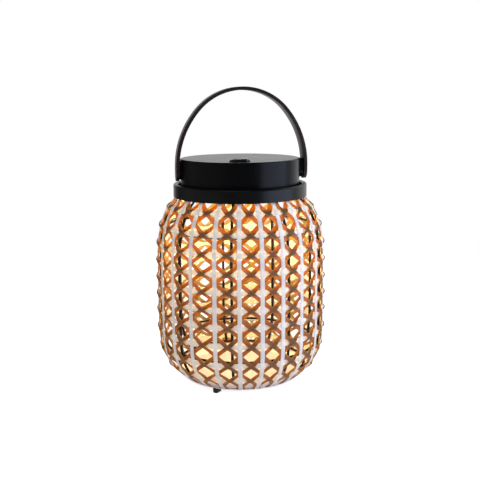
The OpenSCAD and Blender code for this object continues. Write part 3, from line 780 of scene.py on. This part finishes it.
class LANTERN_OT_wire_frame(bpy.types.Operator):
    """Draw the round rods, and finish the rings and hoops"""

    bl_idname = "lantern.wire_frame"
    bl_label = "Wire Frame"

    def execute(self, context):
        weave = context.scene.lantern_weave
        mesh = new_tape_mesh()
        for rod in range(weave.rods):
            angle = weave.rod_turn + TURN * rod / weave.rods
            out, side = polar(1, angle, 0), polar(1, angle + math.pi / 2, 0)

            def place(u, v):
                z = ROD_LOW + (ROD_HIGH - ROD_LOW) * v
                reach = barrel_radius(weave, z) - weave.rod_gap - weave.wire / 2
                return (polar(reach, angle, z) + weave.wire / 2 * (
                    out * math.cos(TURN * u) + side * math.sin(TURN * u)))

            lay_tape(mesh, ROD_SIDES, ROD_STEPS, place, (0, 1))
        bmesh.ops.remove_doubles(mesh, verts=mesh.verts, dist=MERGE)
        bmesh.ops.holes_fill(mesh, edges=mesh.edges, sides=0)
        bmesh.ops.recalc_face_normals(mesh, faces=mesh.faces)
        add_piece("round_rods", mesh, "Coated wire", replaced=["frame_rods"],
                  sharp=40)
        finish_nodes("Coated wire", "bottom_ring", "lower_hoop", "upper_hoop", "top_ring")
        return {"FINISHED"}


class LANTERN_OT_base(bpy.types.Operator):
    """Spin the rim with its rolled lip, and finish the base disc, feet and screws"""

    bl_idname = "lantern.base"
    bl_label = "Base"

    def execute(self, context):
        weave = context.scene.lantern_weave
        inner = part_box("base_disc")[1].x + 0.1 * MM
        low, top = (corner.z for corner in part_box("base_rim"))
        hem = barrel_radius(weave, weave.hem_height)
        outline = [
            # underside, and the lip that rolls up under the ends of the weave
            (inner, low), (hem - 1.0 * MM, low - 0.1 * MM), (hem + 0.3 * MM, low - 0.7 * MM),
            (hem + 1.0 * MM, low - 0.6 * MM), (hem + 1.2 * MM, low - 0.1 * MM),
            (hem + 0.9 * MM, low + 0.3 * MM), (hem - 1.7 * MM, low + 0.3 * MM),
            # wall behind the weave, and the slope down to the disc
            (barrel_radius(weave, low + 1.8 * MM) - 1.15 * MM, low + 1.8 * MM),
            (barrel_radius(weave, top) - 1.65 * MM, top),
            (barrel_radius(weave, top) - 3.4 * MM, top), (inner, low + 3.0 * MM)]
        mesh = bmesh.new()
        verts = [mesh.verts.new((radius, 0, z)) for radius, z in outline]
        edges = [mesh.edges.new((verts[i - 1], verts[i])) for i in range(len(verts))]
        bmesh.ops.spin(mesh, geom=verts + edges, cent=(0, 0, 0), axis=(0, 0, 1), angle=TURN,
                       steps=RIM_STEPS, use_merge=True)
        bmesh.ops.recalc_face_normals(mesh, faces=mesh.faces)
        add_piece("rolled_rim", mesh, "Cream plastic", replaced=["base_rim"],
                  sharp=30)
        finish_nodes("Peach plastic", "base_disc")
        finish_nodes("Black rubber", "feet")
        finish_nodes("Plated steel", "foot_screws")
        return {"FINISHED"}


class LANTERN_OT_lamp_unit(bpy.types.Operator):
    """Finish the collar, the lamp unit and what is inside it"""

    bl_idname = "lantern.lamp_unit"
    bl_label = "Lamp Unit"

    def execute(self, context):
        finish_nodes("Satin collar", "collar")
        finish_nodes("Satin housing", "cap_housing")
        finish_nodes("Black rubber", "gasket")
        finish_nodes("White plastic", "cap_plate", "led_board")
        finish_nodes("Lit chip", "led_chips")
        finish_nodes("Lit diffuser", "diffuser")
        finish_nodes("Blue sleeve", "battery_cell")
        finish_nodes("Black plastic", "battery_cradle", "tact_switch")
        finish_nodes("Green board", "control_board")
        finish_nodes("Plated steel", "charge_socket", "board_screws", "cap_screws",
                     "ring_screws", "left_nut", "right_nut")
        finish_nodes("Dark pin", "left_pin", "right_pin")
        return {"FINISHED"}


class LANTERN_OT_switch(bpy.types.Operator):
    """Round off the switch pad and its push button"""

    bl_idname = "lantern.switch"
    bl_label = "Switch"

    def execute(self, context):
        pad = rounded_copy("switch_pad", PAD_ROUND, 4, above=PAD_TOP - SLACK)
        # its top falls away towards both ends
        low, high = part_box("switch_pad")
        middle, half = (low + high) / 2, (high.x - low.x) / 2
        for vert in pad.verts:
            if vert.co.z > PAD_TOP - PAD_SKIN:
                off = abs(vert.co.x - middle.x) / half
                vert.co.z -= PAD_FALL * max((off - PAD_FLAT) / (1 - PAD_FLAT), 0) ** 2
        add_piece("rounded_pad", pad, "Gloss button",
                  replaced=["switch_pad"], sharp=40)
        head = rounded_copy("switch_button", BUTTON_ROUND, 3, above=BUTTON_TOP - SLACK)
        add_piece("rounded_button", head, "Button painted light for its highlight",
                  body="button", replaced=["switch_button"], sharp=40)
        return {"FINISHED"}


def hinge_block(spacer, side):
    """Broad block between the lamp unit and a leg of the bail, which hides the gap. Seen
    along the pin it is half round below and has two rounded corners above."""
    low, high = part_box(spacer)
    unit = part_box("cap_housing")[1]
    reach = high.x if side > 0 else low.x
    axis = (low.z + high.z) / 2
    quarter = TURN / 4
    mesh = bmesh.new()
    loops = []
    for x, inset in ((side * (unit.x - BLOCK_SINK), 0.0),
                     (reach - side * BLOCK_CHAMFER, 0.0), (reach, BLOCK_CHAMFER)):
        half, top = BLOCK_HALF - inset, unit.z - BLOCK_DROP - inset - BLOCK_CORNER
        outline = [(half * math.cos(angle), axis - half * math.sin(angle))
                   for angle in (math.pi * i / 20 for i in range(21))]
        for start, middle in ((2 * quarter, BLOCK_CORNER - half), (quarter, half - BLOCK_CORNER)):
            outline += [(middle + BLOCK_CORNER * math.cos(angle),
                         top + BLOCK_CORNER * math.sin(angle))
                        for angle in (start - quarter * i / 6 for i in range(7))]
        ring = [mesh.verts.new((x, y, z)) for y, z in outline]
        loops.append([mesh.edges.new((ring[i - 1], ring[i])) for i in range(len(ring))])
    for near, far in zip(loops, loops[1:]):
        bmesh.ops.bridge_loops(mesh, edges=near + far)
    bmesh.ops.holes_fill(mesh, edges=mesh.edges, sides=0)
    bmesh.ops.recalc_face_normals(mesh, faces=mesh.faces)
    return mesh


class LANTERN_OT_handle(bpy.types.Operator):
    """Set the hinge blocks and round off the carrying bail"""

    bl_idname = "lantern.handle"
    bl_label = "Handle"

    def execute(self, context):
        for name, side in (("left", -1), ("right", 1)):
            add_piece(name + "_hinge_block", hinge_block(name + "_spacer", side),
                      "Satin housing", replaced=[name + "_spacer"], sharp=35)
        mesh = rounded_copy("bail", BAIL_ROUND, 3)
        # the play of its pins lets the bail lean a little to the right
        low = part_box("bail")[0].z
        for vert in mesh.verts:
            vert.co.x += BAIL_LEAN * (vert.co.z - low)
        add_piece("carrying_bail", mesh, "Handle plastic", body="handle",
                  replaced=["bail"], sharp=40)
        return {"FINISHED"}


# Finishes and stage -----------------------------------------------------------------


def gloss_rays(tree, path):
    """1 on the rays off gloss and through glass, which see the background too"""
    return maths(tree, "MAXIMUM", path.outputs["Is Glossy Ray"],
                 path.outputs["Is Transmission Ray"])


class LANTERN_OT_materials(bpy.types.Operator):
    """Make every finish of the lantern"""

    bl_idname = "lantern.materials"
    bl_label = "Finishes"

    def execute(self, context):
        look = context.scene.lantern_finish
        build_tape_group()
        build_skin_group()
        # painted light and shade at the crossings: the white strips are painted lighter where
        # they lie on the bands, the lower brown straps darker where the upper ones cross over
        # them
        tape_material("White tape", look.white_tape, look.white_glow, look.white_tape,
                      look.white_lamp_side_painted_light, through=0.26, shade=-0.10)
        tape_material("White band tape", look.white_band, look.white_glow, look.white_band,
                      look.white_lamp_side_painted_light, through=0.32)
        # painted light and shade: the two layers of the same brown tape get a darker colour below
        # and a greyer, lighter one on top
        tape_material("Brown tape under", look.brown_tape, look.brown_glow, look.painted_edge_glow,
                      look.brown_lamp_side_painted_light, through=0.55, shade=0.2, painted_edge_amount=0.55, specular=0.5)
        tape_material("Brown tape over", look.brown_tape_top_painted_lit, look.brown_glow, look.painted_edge_glow,
                      look.brown_lamp_side_painted_light, through=0.55, painted_edge_amount=0.45, specular=0.5)
        # roughness, scale of the grain, variation of the colour and depth of the grain
        skin_material("Satin housing", look.housing, 0.28, 1400, 0.3, 0.04, specular=0.13)
        skin_material("Satin collar", look.housing, 0.30, 1400, 0.3, 0.04, specular=0.21)
        skin_material("Handle plastic", look.handle, 0.40, 1100, 0.3, 0.03, specular=0.28)
        skin_material("Coated wire", look.wire, 0.5, 1800, 0.3, 0.08, specular=0.22)
        skin_material("Cream plastic", look.base, 0.5, 900, 0.08, 0.05)
        skin_material("Peach plastic", look.base_inside, 0.5, 900, 0.08, 0.05)
        skin_material("Black rubber", (0.007, 0.007, 0.007), 0.55, 1200, 0.3, 0.08, specular=0.25)
        # painted highlight: the button is coloured light grey to stand for the glint on its
        # glossy top
        skin_material("Button painted light for its highlight", (0.24, 0.26, 0.29), 0.1, 900, 0.2, 0.02, specular=1.0)
        skin_material("Gloss button", (0.010, 0.009, 0.009), 0.25, 900, 0.2, 0.02)
        skin_material("Black plastic", (0.03, 0.03, 0.03), 0.5)
        skin_material("White plastic", (0.82, 0.80, 0.76), 0.45, 900, 0.06)
        skin_material("Plated steel", (0.62, 0.62, 0.64), 0.3, 2500, 0.15, 0.05, metallic=1.0)
        skin_material("Dark pin", (0.05, 0.045, 0.042), 0.35, 2000, 0.3, 0.06, metallic=1.0)
        skin_material("Blue sleeve", (0.02, 0.09, 0.28), 0.25, 700, 0.15)
        skin_material("Green board", (0.012, 0.09, 0.035), 0.35, 1800, 0.4)
        lamp = context.scene.lantern_stage.lamp_colour
        skin_material("Lit chip", (0.9, 0.75, 0.3), 0.4, glow=lamp, glow_strength=4.0)
        skin_material("Lit diffuser", (0.9, 0.87, 0.8), 0.5, 600, 0.05, 0.02,
                      glow=lamp, glow_strength=3.0)
        return {"FINISHED"}


class LANTERN_OT_stage(bpy.types.Operator):
    """Set the floor, the lights and the camera"""

    bl_idname = "lantern.stage"
    bl_label = "Stage"

    def execute(self, context):
        stage = context.scene.lantern_stage
        context.scene.view_settings.view_transform = "Standard"
        self.lay_floor(stage)
        self.light_world(stage)
        self.hang_lights(stage)
        self.set_camera(stage)
        return {"FINISHED"}

    @staticmethod
    def lay_floor(stage):
        tree, output = new_material("Pale floor")
        path = tree.nodes.new("ShaderNodeLightPath")
        seen = maths(tree, "MAXIMUM", path.outputs["Is Camera Ray"], gloss_rays(tree, path))
        paint = tree.nodes.new("ShaderNodeBsdfDiffuse")
        paint.inputs["Color"].default_value = rgba(stage.floor_colour)
        glow = tree.nodes.new("ShaderNodeEmission")
        tree.links.new(maths(tree, "MULTIPLY", seen, stage.floor_glow),
                       glow.inputs["Strength"])
        both = tree.nodes.new("ShaderNodeAddShader")
        tree.links.new(paint.outputs["BSDF"], both.inputs[0])
        tree.links.new(glow.outputs["Emission"], both.inputs[1])
        tree.links.new(both.outputs["Shader"], output.inputs["Surface"])
        mesh = bmesh.new()
        bmesh.ops.create_circle(mesh, cap_ends=True, segments=96, radius=FLOOR_RADIUS)
        data = bpy.data.meshes.new("floor")
        mesh.to_mesh(data)
        mesh.free()
        data.materials.append(bpy.data.materials["Pale floor"])
        floor = bpy.data.objects.new("floor", data)
        bpy.context.scene.collection.objects.link(floor)

    @staticmethod
    def light_world(stage):
        world = bpy.data.worlds.new("Studio")
        bpy.context.scene.world = world
        world.use_nodes = True
        tree = world.node_tree
        tree.nodes.clear()
        output = tree.nodes.new("ShaderNodeOutputWorld")
        path = tree.nodes.new("ShaderNodeLightPath")
        direction = tree.nodes.new("ShaderNodeTexCoord").outputs["Generated"]
        cards = []
        for turn, low, high, strength in GLOSS_CARDS:
            facing = vector_maths(tree, "DOT_PRODUCT", direction,
                                  (math.cos(turn), math.sin(turn), CARD_RISE))
            cards.append(maths(tree, "MULTIPLY", step(tree, facing, low, high), strength))
        gloss = maths(tree, "ADD", ROOM, maths(tree, "ADD", *cards))
        # gloss sees the cards, the camera sees white and all else the even sky
        ray = gloss_rays(tree, path)
        plain = maths(tree, "ADD", maths(tree, "MULTIPLY", ray, gloss), maths(
            tree, "MULTIPLY", maths(tree, "SUBTRACT", 1.0, ray), stage.sky))
        sky = tree.nodes.new("ShaderNodeBackground")
        sky.inputs["Color"].default_value = (1, 1, 1, 1)
        tree.links.new(maths(tree, "MAXIMUM", path.outputs["Is Camera Ray"], plain),
                       sky.inputs["Strength"])
        tree.links.new(sky.outputs["Background"], output.inputs["Surface"])

    @staticmethod
    def hang_lights(stage):
        def hang(name, kind, power, colour, place):
            data = bpy.data.lights.new(name, kind)
            data.energy = power
            data.color = colour
            light = bpy.data.objects.new(name, data)
            light.location = place
            light.visible_camera = False
            bpy.context.scene.collection.objects.link(light)
            return light

        for name, power, colour, place, size in (
                ("key", stage.key_power, stage.key_colour, KEY_PLACE, KEY_SIZE),
                ("fill", stage.fill_power, stage.fill_colour, FILL_PLACE, FILL_SIZE)):
            panel = hang(name, "AREA", power, colour, polar(*place))
            panel.data.shape = "RECTANGLE"
            panel.data.size, panel.data.size_y = size
            panel.rotation_euler = (AIM - panel.location).to_track_quat("-Z", "Y").to_euler()
        lamp = hang("lamp", "POINT", stage.lamp_power, stage.lamp_colour, LAMP_PLACE)
        lamp.data.shadow_soft_size = LAMP_RADIUS
        lamp.visible_glossy = False

    @staticmethod
    def set_camera(stage):
        data = bpy.data.cameras.new("camera")
        data.sensor_width = 36.0
        data.lens = stage.lens
        data.clip_start = 0.01
        data.shift_x = CAMERA_SHIFT
        camera = bpy.data.objects.new("camera", data)
        place = Vector((-stage.distance * math.sin(stage.yaw),
                        -stage.distance * math.cos(stage.yaw), stage.height))
        turn = (Matrix.Rotation(-stage.yaw, 4, "Z")
                @ Matrix.Rotation(math.pi / 2 - stage.pitch, 4, "X")
                @ Matrix.Rotation(stage.roll, 4, "Z"))
        camera.matrix_world = Matrix.Translation(place) @ turn
        bpy.context.scene.collection.objects.link(camera)
        bpy.context.scene.camera = camera


class LANTERN_PT_panel(bpy.types.Panel):
    """Sizes, colours and pieces of the lantern"""

    bl_idname = "LANTERN_PT_panel"
    bl_label = "Woven Strap Lantern"
    bl_space_type = "VIEW_3D"
    bl_region_type = "UI"
    bl_category = "Lantern"

    def draw(self, context):
        layout = self.layout
        for settings in (context.scene.lantern_weave, context.scene.lantern_finish,
                         context.scene.lantern_stage):
            box = layout.box()
            for prop in settings.bl_rna.properties:
                if prop.identifier not in {"rna_type", "name"}:
                    box.prop(settings, prop.identifier)
        for operator in OPERATORS:
            layout.operator(operator.bl_idname)


OPERATORS = (
    LANTERN_OT_materials, LANTERN_OT_stage, LANTERN_OT_strips, LANTERN_OT_bands,
    LANTERN_OT_straps, LANTERN_OT_wire_frame, LANTERN_OT_base, LANTERN_OT_lamp_unit,
    LANTERN_OT_switch, LANTERN_OT_handle)
SETTINGS = {
    "lantern_weave": LanternWeaveSettings,
    "lantern_finish": LanternFinishSettings,
    "lantern_stage": LanternStageSettings,
}


def register():
    for settings in SETTINGS.values():
        bpy.utils.register_class(settings)
    for name, settings in SETTINGS.items():
        setattr(bpy.types.Scene, name, PointerProperty(type=settings))
    for operator in OPERATORS:
        bpy.utils.register_class(operator)
    bpy.utils.register_class(LANTERN_PT_panel)


def unregister():
    bpy.utils.unregister_class(LANTERN_PT_panel)
    for operator in reversed(OPERATORS):
        bpy.utils.unregister_class(operator)
    for name in SETTINGS:
        delattr(bpy.types.Scene, name)
    for settings in SETTINGS.values():
        bpy.utils.unregister_class(settings)


def main():
    register()
    for operator in OPERATORS:
        group, name = operator.bl_idname.split(".")
        getattr(getattr(bpy.ops, group), name)()


if __name__ == "__main__":
    main()
